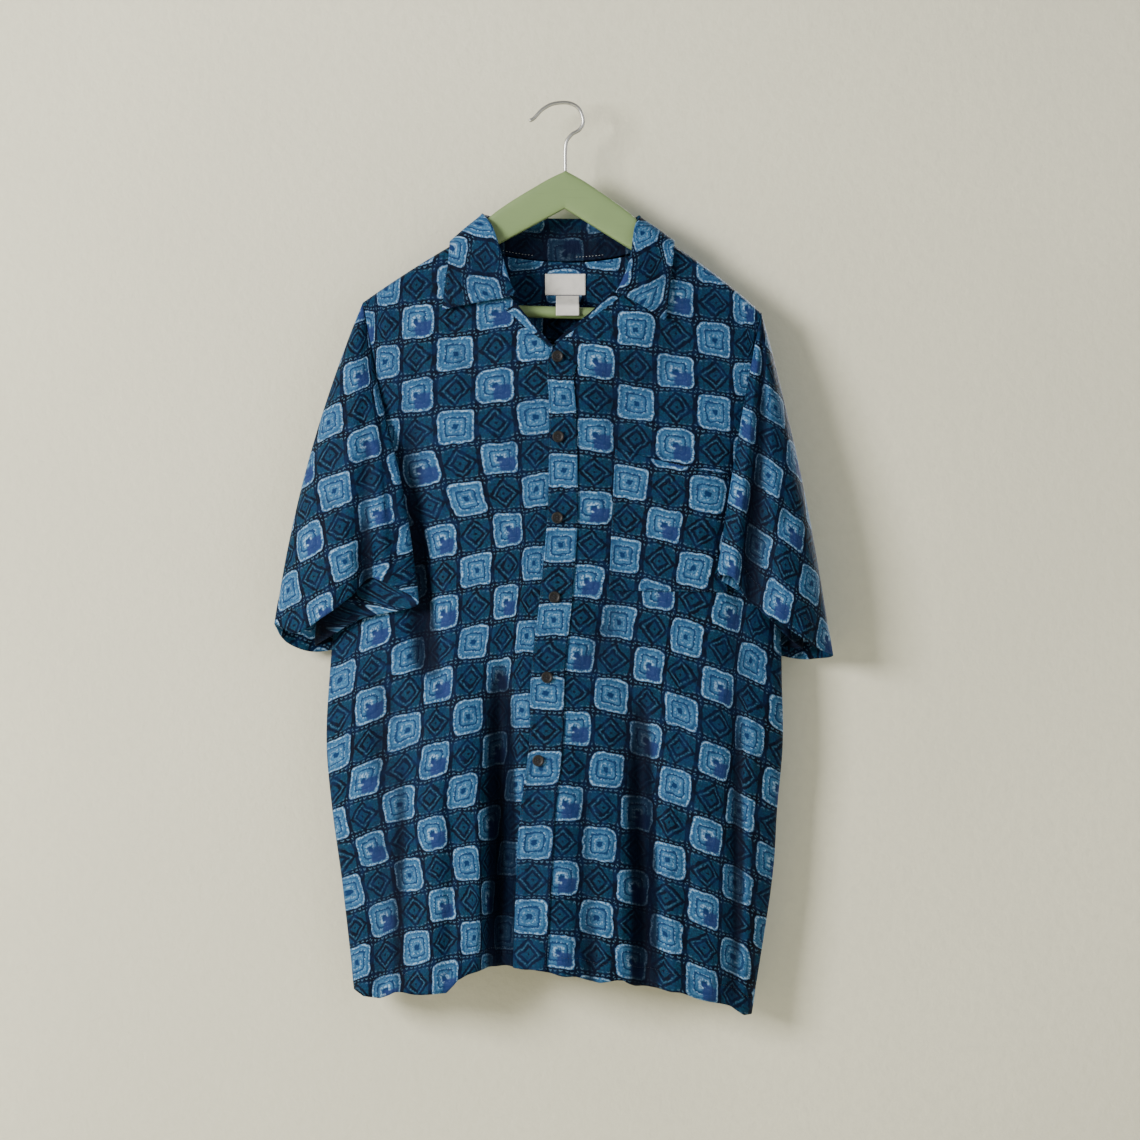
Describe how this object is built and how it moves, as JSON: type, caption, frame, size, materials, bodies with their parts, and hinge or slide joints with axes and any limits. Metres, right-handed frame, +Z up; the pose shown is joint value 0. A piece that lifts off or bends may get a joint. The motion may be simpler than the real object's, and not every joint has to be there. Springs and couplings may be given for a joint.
{
  "type": "hawaiian shirt on wooden hanger",
  "caption": "Short-sleeved shirt with camp collar, chest pocket and buttoned front in a blue checkered print, hanging on a flat wooden hanger with a trouser bar and a steel hook.",
  "frame": {"origin": "inner crown of the hanger's hook, where the hook hangs on a rail or peg", "axes": "+X to the wearer's left, which is the viewer's right from the front, +Y from the front to the back, +Z up"},
  "size_m": [0.6012, 0.1034, 0.9882],
  "materials": {
    "cloth": "thin printed cloth, matt with a slight sheen",
    "button": "dark horn look, polished",
    "label": "woven tape",
    "hanger": "pale green lacquer, satin",
    "hook": "plated wire"
  },
  "bodies": {
    "root": {"front_right": "cloth", "front_left": "cloth", "back": "cloth", "sleeve_right": "cloth", "sleeve_left": "cloth", "collar": "cloth", "lapel_right": "cloth", "lapel_left": "cloth", "placket": "cloth", "pocket": "cloth", "button_1": "button", "button_2": "button", "button_3": "button", "button_4": "button", "button_5": "button", "button_6": "button", "neck_label": "label", "care_label": "label", "hanger_arms": "hanger", "trouser_bar": "hanger", "hook": "hook"}
  },
  "joints": []
}
